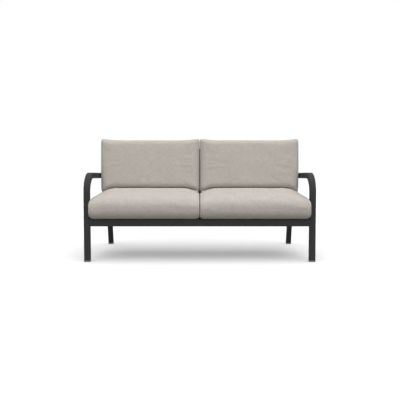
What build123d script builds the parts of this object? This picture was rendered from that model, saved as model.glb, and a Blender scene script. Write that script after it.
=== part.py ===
from build123d import *

import math
import os

os.makedirs("parts", exist_ok=True)

# Every length is in millimetres. Depths run back from the front legs' front faces,
# heights run up from the floor, and left is the side of negative X.

# Side hoops: front leg, armrest and rear leg in one bent tube.
overall_width = 1486.0
arm_top = 574.5
tube_side = 38.0
tube_wall = 1.5
tube_corner = 4.0
bend_radius = 112.5
leg_spread = 837.0
rear_splay_deg = 12.6

# Glides in the open ends of the legs.
foot_height = 10.0
foot_chamfer = 1.5
plug_height = 22.0
fin_clearance = 0.2
fin_reach = 2.3
fin_corner = 2.0
fin_thickness = 1.2
fin_count = 3

# Seat rails, side rails, stretcher and seat slats.
rail_height = 46.0
rail_top = 275.0
rail_corner = 3.0
front_rail_depth = 30.0
rear_rail_lead = 5.0
rear_rail_depth = 40.0
stretcher_side = 30.0
seat_slat_width = 40.0
slat_thickness = 12.0
slat_wall = 1.2
slat_corner = 2.5
seat_slats_per_half = 6

# Back frame, leaning back from the rear seat rail.
back_lean_deg = 10.0
back_plane_depth = 463.0
post_side = 30.0
post_rise = 480.0
bottom_rail_height = 40.0
back_slat_width = 35.0
back_slats_per_half = 5
cap_thickness = 4.0
cap_clearance = 0.3
cap_plug_length = 14.0

# Corner brackets and their fasteners.
bracket_leg = 50.0
bracket_height = 36.0
bracket_thickness = 4.0
bracket_corner = 4.0
bolt_offset = 28.0
bolt_radius = 4.0
bolt_hole_clearance = 0.4
head_across_flats = 13.0
head_height = 5.3
washer_radius = 8.0
washer_thickness = 1.6
nut_height = 6.5
nut_bore_clearance = 0.05
bolt_tip = 2.0

# Cushions. The seat cushion's side outline rises from its underside to the nose's upper
# corner, then to the start of the crown's slope, then to the crown.
cushion_side_clearance = 1.5
cushion_rest_clearance = 0.4
centre_gap = 3.0
cover_thickness = 2.5
core_clearance = 0.5
seat_overhang = 43.0
seat_nose_rise = 122.6
seat_slope_rise = 42.0
seat_crown_rise = 28.5
seat_nose_low_radius = 60.0
seat_nose_high_radius = 70.0
seat_slope_run = 103.0
seat_slope_bend = 22.0
seat_crown_run = 170.0
seat_crown_bend = 41.0
seat_rear_gap = 1.5
seat_rear_high_radius = 30.0
seat_rear_low_radius = 12.0
seat_nose_drop = 2.0
seat_slope_drop = 26.0
seat_crown_drop = 45.0
seat_shoulder_width = 110.0
seat_edge_round = 10.0
seat_nose_round = 12.0
seat_nose_round_width = 16.0
seat_bottom_round = 16.0
seat_bottom_round_width = 26.0
seat_swell = 2.0

back_height = 343.6
back_foot_thickness = 149.0
back_rear_clearance = 1.2
back_front_low_radius = 34.0
back_front_high_radius = 45.0
back_rear_high_radius = 32.0
back_rear_low_radius = 12.0
back_face_round = 46.0
back_face_round_width = 52.0
back_crown = 13.0
back_bulge_radius = 900.0
back_ear_rise = 14.0
back_ear_width = 105.0
back_top_round = 8.0
back_outer_corner_lift = 16.0
back_outer_corner_width = 20.0
back_inner_corner_lift = 4.0
back_inner_corner_width = 6.0

# Zips and their sliders.
zip_end_margin = 111.0
zip_width = 8.0
zip_recess = 0.1
zip_seat_rise = 96.6
zip_back_lead = 10.0
teeth_width = 4.0
teeth_height = 1.5
slider_width = 9.0
slider_length = 12.0
slider_height = 4.0
slider_clearance = 0.3
pull_width = 5.0
pull_length = 22.0
pull_thickness = 1.2
pull_corner = 2.0

# Where the cushion sections stand, as shares of the shoulder's width and of the half cushion.
# The inner ends press on each other, so their shoulders fall only a share as far.
end_section_shares = (0.0, 0.005, 0.022, 0.055, 0.09, 0.145, 0.236, 0.35, 0.5, 0.7, 1.0)
crown_section_shares = (0.42, 0.7)
shoulder_power = 1.65
inner_shoulder_share = 0.68
droop_share = 0.95
nose_tighten_share = 0.1
ear_fade_share = 0.5
flare_slope = 0.028

# Sizes that follow from the ones above.
splay = math.radians(rear_splay_deg)
lean = math.radians(back_lean_deg)
hoop_centre = overall_width / 2 - tube_side / 2
inner_half = overall_width / 2 - tube_side
arm_centre = arm_top - tube_side / 2
rear_reach = leg_spread + tube_side / math.cos(splay)
mid_depth = (rear_reach - seat_overhang) / 2
rear_rail_front = back_plane_depth - rear_rail_lead
post_length = post_rise / math.cos(lean)
post_inner = inner_half - post_side
fin_side = tube_side - 2 * tube_wall - 2 * fin_clearance
plug_side = fin_side - 2 * fin_reach
cap_plug_side = post_side - 2 * tube_wall - 2 * cap_clearance
bolt_hole_radius = bolt_radius + bolt_hole_clearance
nut_bore_radius = bolt_radius + nut_bore_clearance
cushion_outer = inner_half - cushion_side_clearance
cushion_inner = centre_gap / 2
cushion_middle = (cushion_outer + cushion_inner) / 2
cushion_half = (cushion_outer - cushion_inner) / 2
seat_bottom = rail_top + cushion_rest_clearance
seat_nose_height = seat_bottom + seat_nose_rise
seat_slope_height = seat_nose_height + seat_slope_rise
seat_crown = seat_slope_height + seat_crown_rise
seat_slope_depth = seat_slope_run - seat_overhang
seat_crown_depth = seat_slope_depth + seat_crown_run
seat_rear = back_plane_depth - seat_rear_gap
back_bottom = seat_crown + cushion_rest_clearance
back_top = back_bottom + back_height
back_front_depth = back_plane_depth - back_foot_thickness
zip_length = 2 * (cushion_half - zip_end_margin)
zip_depth = cover_thickness - zip_recess
zip_seat_height = seat_bottom + zip_seat_rise
zip_back_depth = back_plane_depth + zip_back_lead
slider_channel_width = teeth_width + 2 * slider_clearance
slider_channel_depth = teeth_height + slider_clearance


def save(node, shape):
    """Move a shape from depths to the shared frame and write it as one node."""
    solids = [Pos(0, -mid_depth, 0) * solid for solid in shape.solids()]
    whole = solids[0] if len(solids) == 1 else Compound(solids)
    export_step(whole, "parts/" + node + ".step")


def rounded_section(width, height, corner, wall):
    """A hollow rounded rectangle."""
    hollow = RectangleRounded(width - 2 * wall, height - 2 * wall, corner - wall)
    return RectangleRounded(width, height, corner) - hollow


def bar_along_x(start, end, depth, height, width, tall, corner, wall):
    """A hollow bar along X whose section's centre is at a depth and a height."""
    plane = Plane(origin=(start, depth, height), x_dir=(0, 1, 0), z_dir=(1, 0, 0))
    return extrude(plane * rounded_section(width, tall, corner, wall), amount=end - start)


def bar_along_depth(centre, start, end, height, width, tall, corner, wall):
    """A hollow bar from front to back whose section's centre is at X and a height."""
    plane = Plane(origin=(centre, start, height), x_dir=(-1, 0, 0), z_dir=(0, 1, 0))
    return extrude(plane * rounded_section(width, tall, corner, wall), amount=end - start)


def rod(origin, direction, radius, length):
    """A cylinder that starts at a point and runs along a direction."""
    plane = Plane(origin=origin, z_dir=direction)
    return extrude(plane * Circle(radius), amount=length)


def hoop_path(side):
    """The centreline of one side hoop, from the front foot round to the rear foot."""
    x = side * hoop_centre
    front = tube_side / 2
    turn_height = arm_centre - bend_radius
    turn_z = turn_height + bend_radius * math.sin(splay)
    leg_depth = leg_spread + front / math.cos(splay) - turn_z * math.tan(splay)
    turn_depth = leg_depth - bend_radius * math.cos(splay)
    half = math.radians(45)
    first = (front + bend_radius * (1 - math.cos(half)), turn_height + bend_radius * math.sin(half))
    angle = (math.pi / 2 + splay) / 2
    second = (turn_depth + bend_radius * math.cos(angle), turn_height + bend_radius * math.sin(angle))
    a = (x, front, foot_height)
    b = (x, front, turn_height)
    c = (x, front + bend_radius, arm_centre)
    d = (x, turn_depth, arm_centre)
    e = (x, leg_depth, turn_z)
    f = (x, leg_spread + front / math.cos(splay), 0)
    edges = [
        Line(a, b),
        ThreePointArc(b, (x, *first), c),
        Line(c, d),
        ThreePointArc(d, (x, *second), e),
        Line(e, f),
    ]
    return Wire(edges)


def bolt_depth_at_arm():
    """The depth of the back posts' centreline at the armrest's middle height."""
    rise = arm_centre - rail_top
    return back_plane_depth + rise * math.tan(lean) + post_side / 2 / math.cos(lean)


def side_hoop(side):
    """One hollow side hoop, drilled in its inner wall for the back post's bolt."""
    path = hoop_path(side)
    start = Plane(origin=path @ 0, x_dir=(1, 0, 0), z_dir=(0, 0, 1))
    outer = sweep(start * RectangleRounded(tube_side, tube_side, tube_corner), path=path)
    hollow_side = tube_side - 2 * tube_wall
    section = RectangleRounded(hollow_side, hollow_side, tube_corner - tube_wall)
    hoop = outer - sweep(start * section, path=path)
    hoop = split(hoop, bisect_by=Plane.XY.offset(foot_height), keep=Keep.TOP)
    origin = (side * (inner_half - tube_wall), bolt_depth_at_arm(), arm_centre)
    return hoop - rod(origin, (side, 0, 0), bolt_hole_radius, 3 * tube_wall)


def glide(side, depth, tilt):
    """A moulded foot: a pad that the leg stands on and a finned plug inside the tube."""
    up = (0, -math.sin(tilt), math.cos(tilt))
    leg = Plane(origin=(side * hoop_centre, depth, 0), x_dir=(1, 0, 0), z_dir=up)
    reach = foot_height + plug_height
    stem = extrude(leg.offset(-reach) * RectangleRounded(tube_side, tube_side, tube_corner), amount=3 * reach)
    pad = split(stem, bisect_by=Plane.XY, keep=Keep.TOP)
    pad = split(pad, bisect_by=Plane.XY.offset(foot_height), keep=Keep.BOTTOM)
    pad = chamfer(pad.faces().sort_by(Axis.Z)[0].edges(), foot_chamfer)
    plug = extrude(leg * RectangleRounded(plug_side, plug_side, fin_corner), amount=reach)
    for index in range(fin_count):
        at = reach - fin_thickness - index * plug_height / (fin_count + 1)
        fin = RectangleRounded(fin_side, fin_side, fin_corner)
        plug += extrude(leg.offset(at) * fin, amount=fin_thickness)
    return pad + split(plug, bisect_by=Plane.XY.offset(foot_height), keep=Keep.TOP)


def side_rail(side):
    """The rail inside a hoop's plane, between its legs, drilled for the brackets."""
    height = rail_top - rail_height / 2
    rail = bar_along_depth(
        side * hoop_centre, tube_side, leg_spread, height, tube_side, rail_height, rail_corner, tube_wall
    )
    face = Plane(origin=(0, leg_spread, 0), z_dir=(0, -math.cos(splay), -math.sin(splay)))
    rail = split(rail, bisect_by=face, keep=Keep.TOP)
    for depth in (front_rail_depth + bolt_offset, rear_rail_front - bolt_offset):
        origin = (side * (inner_half - tube_wall), depth, height)
        rail -= rod(origin, (side, 0, 0), bolt_hole_radius, 3 * tube_wall)
    return rail


def cross_rail(front, deep, bolt_face, inward):
    """A seat rail between the hoops, drilled in the wall that its brackets lie on."""
    height = rail_top - rail_height / 2
    rail = bar_along_x(
        -inner_half, inner_half, front + deep / 2, height, deep, rail_height, rail_corner, tube_wall
    )
    for side in (-1, 1):
        origin = (side * (inner_half - bolt_offset), bolt_face + inward * tube_wall, height)
        rail -= rod(origin, (0, -inward, 0), bolt_hole_radius, 3 * tube_wall)
    return rail


def centre_stretcher():
    """The tube from the front rail to the rear rail under the gap between the cushions."""
    height = rail_top - stretcher_side / 2
    return bar_along_depth(
        0, front_rail_depth, rear_rail_front, height, stretcher_side, stretcher_side, rail_corner, tube_wall
    )


def seat_slats():
    """Flat tubes from the front rail to the rear rail, evenly spaced in each half."""
    room = inner_half - stretcher_side / 2
    gap = (room - seat_slats_per_half * seat_slat_width) / (seat_slats_per_half + 1)
    height = rail_top - slat_thickness / 2
    slats = []
    for index in range(seat_slats_per_half):
        x = stretcher_side / 2 + gap + seat_slat_width / 2 + index * (gap + seat_slat_width)
        for side in (-1, 1):
            slats.append(
                bar_along_depth(
                    side * x, front_rail_depth, rear_rail_front, height,
                    seat_slat_width, slat_thickness, slat_corner, slat_wall,
                )
            )
    return Compound(children=slats)


def back_plane(x, along):
    """A plane square to the back frame's slope, with its origin on the front face."""
    origin = (x, back_plane_depth + along * math.sin(lean), rail_top + along * math.cos(lean))
    return Plane(origin=origin, x_dir=(1, 0, 0), z_dir=(0, math.sin(lean), math.cos(lean)))


def back_upright(x, start, end, width, deep, corner, wall):
    """A hollow bar up the back frame's slope, its front flush with the frame's face."""
    section = Pos(0, deep / 2) * rounded_section(width, deep, corner, wall)
    return extrude(back_plane(x, start) * section, amount=end - start)


def standing_upright(x, end):
    """A post whose foot is cut level so that it stands on the rear seat rail."""
    post = back_upright(x, -post_side, end, post_side, post_side, rail_corner, tube_wall)
    return split(post, bisect_by=Plane.XY.offset(rail_top), keep=Keep.TOP)


def back_post(side):
    """An outer back post, drilled right through for the bolt into the armrest."""
    post = standing_upright(side * (inner_half - post_side / 2), post_length)
    origin = (side * (post_inner - tube_wall), bolt_depth_at_arm(), arm_centre)
    return post - rod(origin, (side, 0, 0), bolt_hole_radius, post_side + 3 * tube_wall)


def back_cross_rail(start, end, along):
    """A hollow rail across the back frame, flush with the frame's face."""
    middle = back_plane(0, along + post_side / 2) * Pos(0, post_side / 2)
    plane = Plane(
        origin=(start, middle.position.Y, middle.position.Z),
        x_dir=(0, math.cos(lean), -math.sin(lean)),
        z_dir=(1, 0, 0),
    )
    section = rounded_section(post_side, post_side, rail_corner, tube_wall)
    return extrude(plane * section, amount=end - start)


def back_slats():
    """Flat tubes between the bottom and top rails of the back, evenly spaced."""
    room = post_inner - post_side / 2
    gap = (room - back_slats_per_half * back_slat_width) / (back_slats_per_half + 1)
    low = bottom_rail_height + post_side
    high = post_length - post_side
    slats = []
    for index in range(back_slats_per_half):
        x = post_side / 2 + gap + back_slat_width / 2 + index * (gap + back_slat_width)
        for side in (-1, 1):
            slats.append(
                back_upright(side * x, low, high, back_slat_width, slat_thickness, slat_corner, slat_wall)
            )
    return Compound(children=slats)


def post_cap(side):
    """The moulded cap in the open top of an outer back post."""
    plane = back_plane(side * (inner_half - post_side / 2), post_length)
    lid = Pos(0, post_side / 2) * RectangleRounded(post_side, post_side, rail_corner)
    lid = extrude(plane * lid, amount=cap_thickness)
    lid = chamfer(lid.faces().sort_by(Axis.Z)[-1].edges(), cap_thickness / 4)
    stem = Pos(0, post_side / 2) * RectangleRounded(cap_plug_side, cap_plug_side, fin_corner)
    return lid + extrude(plane * stem, amount=-cap_plug_length)


def bracket(face, inward):
    """A corner angle on the right: one leg on the side rail, one on a cross rail."""
    height = rail_top - rail_height / 2
    far = face + inward * bracket_leg
    near = face + inward * bracket_thickness
    edge = inner_half - bracket_leg
    outline = Polyline(
        (inner_half, face),
        (edge, face),
        (edge, near),
        (inner_half - bracket_thickness, near),
        (inner_half - bracket_thickness, far),
        (inner_half, far),
        close=True,
    )
    plate = extrude(Plane.XY.offset(height - bracket_height / 2) * make_face(outline), amount=bracket_height)
    cross_end = plate.edges().filter_by(Axis.Y).sort_by(Axis.X)[:2]
    side_end = plate.edges().filter_by(Axis.X).sort_by(Axis.Y, reverse=inward > 0)[:2]
    plate = fillet(cross_end + side_end, bracket_corner)
    clear = 2 * bracket_thickness
    side_hole = (inner_half - clear, face + inward * bolt_offset, height)
    plate -= rod(side_hole, (1, 0, 0), bolt_hole_radius, 2 * clear)
    cross_hole = (inner_half - bolt_offset, face + inward * clear, height)
    plate -= rod(cross_hole, (0, -inward, 0), bolt_hole_radius, 2 * clear)
    return plate


def bolt_places():
    """Where each corner bolt enters its bracket on the right, and which way it points."""
    height = rail_top - rail_height / 2
    places = []
    for face, inward in ((front_rail_depth, 1), (rear_rail_front, -1)):
        side_point = (inner_half - bracket_thickness, face + inward * bolt_offset, height)
        cross_point = (inner_half - bolt_offset, face + inward * bracket_thickness, height)
        places.append((side_point, (1, 0, 0)))
        places.append((cross_point, (0, -inward, 0)))
    return places


def arm_bolt_place():
    """Where the bolt enters the right back post, and which way it points."""
    return ((post_inner, bolt_depth_at_arm(), arm_centre), (1, 0, 0))


def hexagon(across_flats):
    """A regular hexagon from its width across flats."""
    return RegularPolygon(radius=across_flats / 2, side_count=6, major_radius=False)


def bolt(place, grip):
    """A hexagon bolt whose washer lies on the entered face, long enough for its nut."""
    origin, direction = place
    plane = Plane(origin=origin, z_dir=direction).offset(-washer_thickness)
    head = extrude(plane * hexagon(head_across_flats), amount=-head_height)
    length = washer_thickness + grip + nut_height + bolt_tip
    return head + extrude(plane * Circle(bolt_radius), amount=length)


def washer(place):
    """A flat washer under a bolt's head."""
    origin, direction = place
    plane = Plane(origin=origin, z_dir=direction)
    ring = Circle(washer_radius) - Circle(bolt_hole_radius)
    return extrude(plane * ring, amount=-washer_thickness)


def weld_nut(place, grip):
    """A hexagon nut welded inside the tube, just past the wall that the bolt enters."""
    origin, direction = place
    plane = Plane(origin=origin, z_dir=direction).offset(grip)
    return extrude(plane * (hexagon(head_across_flats) - Circle(nut_bore_radius)), amount=nut_height)


def group(shapes):
    """The right-hand shapes and their mirror images, as one node of many solids."""
    images = [mirror(shape, about=Plane.YZ) for shape in shapes]
    return Compound(children=[s for shape in shapes + images for s in shape.solids()])


def inset_corners(corners, amount):
    """Move each side of an outline inwards by an amount and shorten the radii to suit."""
    moved = []
    count = len(corners)
    for index in range(count):
        (ax, ay, _), (bx, by, radius), (cx, cy, _) = (corners[(index + k) % count] for k in (-1, 0, 1))
        first = math.hypot(bx - ax, by - ay)
        second = math.hypot(cx - bx, cy - by)
        ux, uy = (bx - ax) / first, (by - ay) / first
        vx, vy = (cx - bx) / second, (cy - by) / second
        bend = ux * vy - uy * vx
        # The outline runs anticlockwise, so inwards is to the left of each side.
        shift = amount / bend
        moved.append((bx + shift * (vx - ux), by + shift * (vy - uy), radius - amount))
    return moved


def rounded_outline(x_at, corners):
    """A closed wire through corners of (depth, height, radius), whose X follows from its height."""
    arcs = []
    count = len(corners)
    for index in range(count):
        (ax, ay, _), (bx, by, radius), (cx, cy, _) = (corners[(index + k) % count] for k in (-1, 0, 1))
        back = math.hypot(ax - bx, ay - by)
        ahead = math.hypot(cx - bx, cy - by)
        ux, uy = (ax - bx) / back, (ay - by) / back
        vx, vy = (cx - bx) / ahead, (cy - by) / ahead
        half = math.acos(ux * vx + uy * vy) / 2
        run = radius / math.tan(half)
        size = math.hypot(ux + vx, uy + vy)
        reach = radius / math.sin(half) - radius
        ends = [(bx + run * ux, by + run * uy), (bx + run * vx, by + run * vy)]
        middle = (bx + reach * (ux + vx) / size, by + reach * (uy + vy) / size)
        arcs.append([(x_at(height), depth, height) for depth, height in (ends[0], middle, ends[1])])
    edges = []
    for index, (start, middle, end) in enumerate(arcs):
        edges.append(ThreePointArc(start, middle, end))
        edges.append(Line(end, arcs[(index + 1) % count][0]))
    return Wire(edges)


def quarter(distance, width):
    """How far a quarter round has fallen at a distance from its end: 1 there, 0 at its width."""
    left = 1 - min(distance / width, 1)
    return 1 - math.sqrt(1 - left * left)


def shoulder(distance, outer):
    """How far a cushion's shoulder has fallen: a sloping curve, 1 at the outer end and 0 past its width."""
    share = 1 if outer else inner_shoulder_share
    return share * max(1 - distance / seat_shoulder_width, 0) ** shoulder_power


def bend_radius_at(before, corner, after, bend):
    """The radius that starts to bend an outline a given way either side of a corner."""
    rise = math.atan2(corner[1] - before[1], corner[0] - before[0])
    turn = rise - math.atan2(after[1] - corner[1], after[0] - corner[0])
    return bend / math.tan(turn / 2)


def seat_corners(distance, outer):
    """A seat cushion's side outline at a distance from an end, anticlockwise from the nose."""
    fall = shoulder(distance, outer)
    edge = seat_edge_round * quarter(distance, seat_edge_round)
    nose = seat_nose_round * quarter(distance, seat_nose_round_width)
    low = seat_bottom_round * quarter(distance, seat_bottom_round_width)
    swell = seat_swell * (1 - (1 - min(distance / cushion_half, 1)) ** 2) - seat_swell
    front = -seat_overhang + nose - swell
    nose_top = seat_nose_height + swell - seat_nose_drop * fall - edge
    slope_top = seat_slope_height + swell - seat_slope_drop * fall - edge
    crown_top = seat_crown + swell - seat_crown_drop * fall - edge
    share = (nose_top - seat_bottom - low) / seat_nose_rise
    share *= 1 - nose_tighten_share * quarter(distance, seat_nose_round_width)
    a = (front, nose_top)
    b = (seat_slope_depth, slope_top)
    c = (seat_crown_depth, crown_top)
    d = (seat_rear, crown_top)
    return [
        (front, seat_bottom + low, seat_nose_low_radius * share),
        (seat_rear, seat_bottom + low, seat_rear_low_radius),
        (*d, seat_rear_high_radius),
        (*c, bend_radius_at(b, c, d, seat_crown_bend)),
        (*b, bend_radius_at(a, b, c, seat_slope_bend)),
        (*a, seat_nose_high_radius * share),
    ]


def back_corners(distance, outer):
    """A back cushion's side outline at a distance from an end, anticlockwise from its foot."""
    face = back_face_round * quarter(distance, back_face_round_width)
    bulge = back_crown * (1 - (1 - min(distance / cushion_half, 1)) ** 2)
    droop = droop_share * seat_crown_drop * shoulder(distance, outer)
    if outer:
        lift = back_outer_corner_lift * quarter(distance, back_outer_corner_width)
    else:
        lift = back_inner_corner_lift * quarter(distance, back_inner_corner_width)
    bottom = back_bottom - droop + lift
    rise = back_ear_rise * math.exp(-distance / (ear_fade_share * back_ear_width))
    top = back_top + rise - back_top_round * quarter(distance, back_top_round)
    slope = math.tan(lean)
    front = back_front_depth + face - bulge
    rear = back_plane_depth - back_rear_clearance
    level = (bottom + top) / 2
    crest = front - back_crown / 2 + slope * (level - back_bottom)
    thickness = rear + slope * (top - rail_top) - front - slope * (top - back_bottom)
    rear_top = top - thickness * slope
    return [
        (front + slope * (bottom - back_bottom), bottom, back_front_low_radius),
        (rear + slope * (bottom - rail_top), bottom, back_rear_low_radius),
        (rear + slope * (rear_top - rail_top), rear_top, back_rear_high_radius),
        (front + slope * (top - back_bottom), top, back_front_high_radius),
        (crest, level, back_bulge_radius),
    ]


def cushion_form(corners_at, flare, skin):
    """A loft from end to end of a right-hand cushion, everywhere a skin inside its outer form.

    The outer end leans out by the flare above the armrest, and in below it.
    """
    steps = [share * seat_shoulder_width for share in end_section_shares]
    steps += [share * cushion_half for share in crown_section_shares]
    places = [(d - cushion_half, d, False) for d in steps] + [(0, cushion_half, True)]
    places += [(cushion_half - d, d, True) for d in reversed(steps)]
    squeeze = (cushion_half - skin) / cushion_half
    wires = []
    for x, distance, outer in places:
        corners = corners_at(distance, outer)
        if skin > 0:
            corners = inset_corners(corners, skin)
        base = cushion_middle + x * squeeze
        lean_out = flare * (base - cushion_inner) / (cushion_outer - cushion_inner)
        wires.append(rounded_outline(lambda z, b=base, k=lean_out: b + k * (z - arm_top), corners))
    return Solid.make_loft(wires, ruled=True)


def seat_form(skin):
    """The seat cushion's form, a skin inside its outer face."""
    return cushion_form(seat_corners, 0, skin)


def back_form(skin):
    """The back cushion's form, a skin inside its outer face."""
    return cushion_form(back_corners, flare_slope, skin)


def seat_zip_plane():
    """The plane of the seat cushion's rear face at the zip's middle, facing out."""
    return Plane(origin=(cushion_middle, seat_rear, zip_seat_height), x_dir=(1, 0, 0), z_dir=(0, 1, 0))


def back_zip_plane():
    """The plane of the back cushion's underside at the zip's middle, facing out."""
    return Plane(origin=(cushion_middle, zip_back_depth, back_bottom), x_dir=(1, 0, 0), z_dir=(0, 0, -1))


def zip_slot(plane):
    """The slot that the zip fills in a cover."""
    reach = 2 * cover_thickness
    return extrude(plane.offset(-reach) * Rectangle(zip_length, zip_width), amount=2 * reach)


def zip_strip(plane):
    """The zip: a tape as thick as the cover with a raised row of teeth along it."""
    tape = extrude(plane.offset(-zip_depth) * Rectangle(zip_length, zip_width), amount=zip_depth)
    return tape + extrude(plane * Rectangle(zip_length, teeth_width), amount=teeth_height)


def zip_slider(plane):
    """The slider that straddles the teeth at the zip's inner end, with its pull lying flat."""
    start = -zip_length / 2 + slider_length
    base = plane.offset(slider_clearance)
    body = extrude(base * Pos(start, 0) * Rectangle(slider_length, slider_width), amount=slider_height)
    channel = extrude(
        base * Pos(start, 0) * Rectangle(2 * slider_length, slider_channel_width), amount=slider_channel_depth
    )
    lift = base.offset(slider_height - pull_thickness)
    pull = extrude(
        lift * Pos(start + pull_length / 2, 0) * RectangleRounded(pull_length, pull_width, pull_corner),
        amount=pull_thickness,
    )
    return body - channel + pull


def save_cushion(kind, form, plane):
    """Write the cover, core, zip and slider of the left and right cushions of one kind."""
    cover = form(0) - form(cover_thickness) - zip_slot(plane)
    core = form(cover_thickness + core_clearance)
    pieces = {"cover": cover, "core": core, "zip": zip_strip(plane), "zip_slider": zip_slider(plane)}
    for name, shape in pieces.items():
        save("right_" + kind + "_" + name, shape)
        save("left_" + kind + "_" + name, mirror(shape, about=Plane.YZ))


def save_frame():
    """Write the nodes of the welded and bolted frame."""
    front_foot = tube_side / 2
    rear_foot = leg_spread + tube_side / 2 / math.cos(splay)
    for name, side in (("left", -1), ("right", 1)):
        save(name + "_side_hoop", side_hoop(side))
        save(name + "_side_rail", side_rail(side))
        save("front_" + name + "_glide", glide(side, front_foot, 0))
        save("rear_" + name + "_glide", glide(side, rear_foot, splay))
        save(name + "_back_post", back_post(side))
        save(name + "_post_cap", post_cap(side))
    save("front_seat_rail", cross_rail(0, front_rail_depth, front_rail_depth, 1))
    save("rear_seat_rail", cross_rail(rear_rail_front, rear_rail_depth, rear_rail_front, -1))
    save("centre_seat_stretcher", centre_stretcher())
    save("seat_slats", seat_slats())
    save("back_centre_post", standing_upright(0, post_length - post_side))
    save("back_top_rail", back_cross_rail(-post_inner, post_inner, post_length - post_side))
    lower = back_cross_rail(post_side / 2, post_inner, bottom_rail_height)
    save("right_back_bottom_rail", lower)
    save("left_back_bottom_rail", mirror(lower, about=Plane.YZ))
    save("back_slats", back_slats())


def save_fasteners():
    """Write the brackets, bolts, washers and weld nuts."""
    corner_grip = bracket_thickness + tube_wall
    arm_grip = post_side + tube_wall
    save("corner_brackets", group([bracket(front_rail_depth, 1), bracket(rear_rail_front, -1)]))
    save("corner_bolts", group([bolt(place, corner_grip) for place in bolt_places()]))
    save("corner_washers", group([washer(place) for place in bolt_places()]))
    save("corner_weld_nuts", group([weld_nut(place, corner_grip) for place in bolt_places()]))
    save("arm_bolts", group([bolt(arm_bolt_place(), arm_grip)]))
    save("arm_washers", group([washer(arm_bolt_place())]))
    save("arm_weld_nuts", group([weld_nut(arm_bolt_place(), arm_grip)]))


save_frame()
save_fasteners()
save_cushion("seat", seat_form, seat_zip_plane())
save_cushion("back", back_form, back_zip_plane())
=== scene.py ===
import math

import bpy
import numpy as np
from bpy.props import FloatProperty, FloatVectorProperty, PointerProperty
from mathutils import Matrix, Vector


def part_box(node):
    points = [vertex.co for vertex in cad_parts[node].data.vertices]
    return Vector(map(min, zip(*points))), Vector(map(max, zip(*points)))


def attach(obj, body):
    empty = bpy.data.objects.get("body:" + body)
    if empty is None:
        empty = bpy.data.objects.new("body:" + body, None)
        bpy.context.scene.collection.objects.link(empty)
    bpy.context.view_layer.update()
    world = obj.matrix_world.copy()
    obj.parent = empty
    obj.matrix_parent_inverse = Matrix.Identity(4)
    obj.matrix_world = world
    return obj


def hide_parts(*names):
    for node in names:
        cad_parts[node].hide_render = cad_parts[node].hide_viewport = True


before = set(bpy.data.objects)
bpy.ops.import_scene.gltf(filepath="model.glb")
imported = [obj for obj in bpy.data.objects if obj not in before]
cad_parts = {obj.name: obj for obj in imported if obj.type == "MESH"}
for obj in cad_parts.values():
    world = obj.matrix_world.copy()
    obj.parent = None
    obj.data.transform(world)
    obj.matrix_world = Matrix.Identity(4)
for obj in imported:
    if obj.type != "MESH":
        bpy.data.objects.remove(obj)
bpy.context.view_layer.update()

bl_info = {
    "name": "Patio loveseat",
    "version": (1, 0, 0),
    "blender": (4, 5, 0),
    "location": "3D View > Sidebar > Loveseat",
    "description": "Cushions, finishes and stage for a patio loveseat with a bent tube frame",
    "category": "Object",
}

# Depths run back from the front legs' front faces, as they do in the CAD source.
FRONT_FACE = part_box("left_side_hoop")[0].y
SEAT_LOW, SEAT_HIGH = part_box("right_seat_cover")
HALF_CUSHION = (SEAT_HIGH.x - SEAT_LOW.x) / 2
ARM_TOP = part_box("left_side_hoop")[1].z
BACK_LEAN = math.radians(10)

# The seat's side outline in metres: its corners' runs behind the front face, their rises above
# the underside, and the bends and radii that round them.
NOSE_RISE = 0.1226
SLOPE_RUN = 0.060
SLOPE_RISE = 0.1646
CROWN_RUN = 0.230
CROWN_RISE = 0.1931
SLOPE_BEND = 0.022
CROWN_BEND = 0.041
NOSE_LOW_RADIUS = 0.060
NOSE_HIGH_RADIUS = 0.070
SEAT_REAR_LOW_RADIUS = 0.012
SEAT_REAR_HIGH_RADIUS = 0.030
SWELL = 0.002
BOTTOM_ROUND = 0.016
BOTTOM_ROUND_WIDTH = 0.026

# The shoulder at the seat's ends: the shares of its drop that the nose and the slope take.
NOSE_DROP_SHARE = 2 / 45
SLOPE_DROP_SHARE = 26 / 45
INNER_SHOULDER_SHARE = 0.76
SHOULDER_POWER = 1.65

# The back's side outline in metres: its faces behind the front face, its height and its radii.
BACK_FRONT_RUN = 0.314
BACK_REAR_RUN = 0.4618
BACK_RISE = 0.3466
REST_GAP = 0.0004
DROOP_SHARE = 0.95
TOP_ROUND = 0.008
OUTER_LIFT = 0.016
OUTER_LIFT_WIDTH = 0.020
INNER_LIFT = 0.004
INNER_LIFT_WIDTH = 0.006
FACE_BULGE = 0.0065
FACE_BULGE_RADIUS = 0.900
BACK_FRONT_LOW_RADIUS = 0.034
BACK_FRONT_HIGH_RADIUS = 0.045
BACK_REAR_LOW_RADIUS = 0.012
BACK_REAR_HIGH_RADIUS = 0.032

# Rings of points from a cushion's end inwards, in metres, with one on the seam. The rest are even.
END_RINGS = (0, 0.0007, 0.002, 0.0042, 0.0072)
SEAM_GAP = 0.0028
LAST_END_GAP = 0.008
SEAM_RING = 6
EVEN_RINGS = 45

# Points on each corner's arc and on the run after it, and the end patch: the point it starts at
# and its two sides' steps. The back's outer end leans out by the flare for each metre of height.
SEAT_STEPS = ((16, 58), (4, 15), (6, 20), (11, 14), (6, 6), (16, 4))
SEAT_PATCH = (8, 68, 20)
BACK_STEPS = ((8, 14), (4, 40), (8, 11), (10, 13), (10, 14))
BACK_PATCH = (4, 20, 46)
BACK_FLARE = 0.028

# The filling: the frames it takes, how far and in what waves (radians a metre) a cover starts
# uneven, and the rounds that smooth the folds' fine noise and find their wide average.
FILL_FRAMES = 20
UNEVENNESS = 0.001
WAVES = (41, 53, 47)
FINE_ROUNDS = 2
WIDE_ROUNDS = 60

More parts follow.
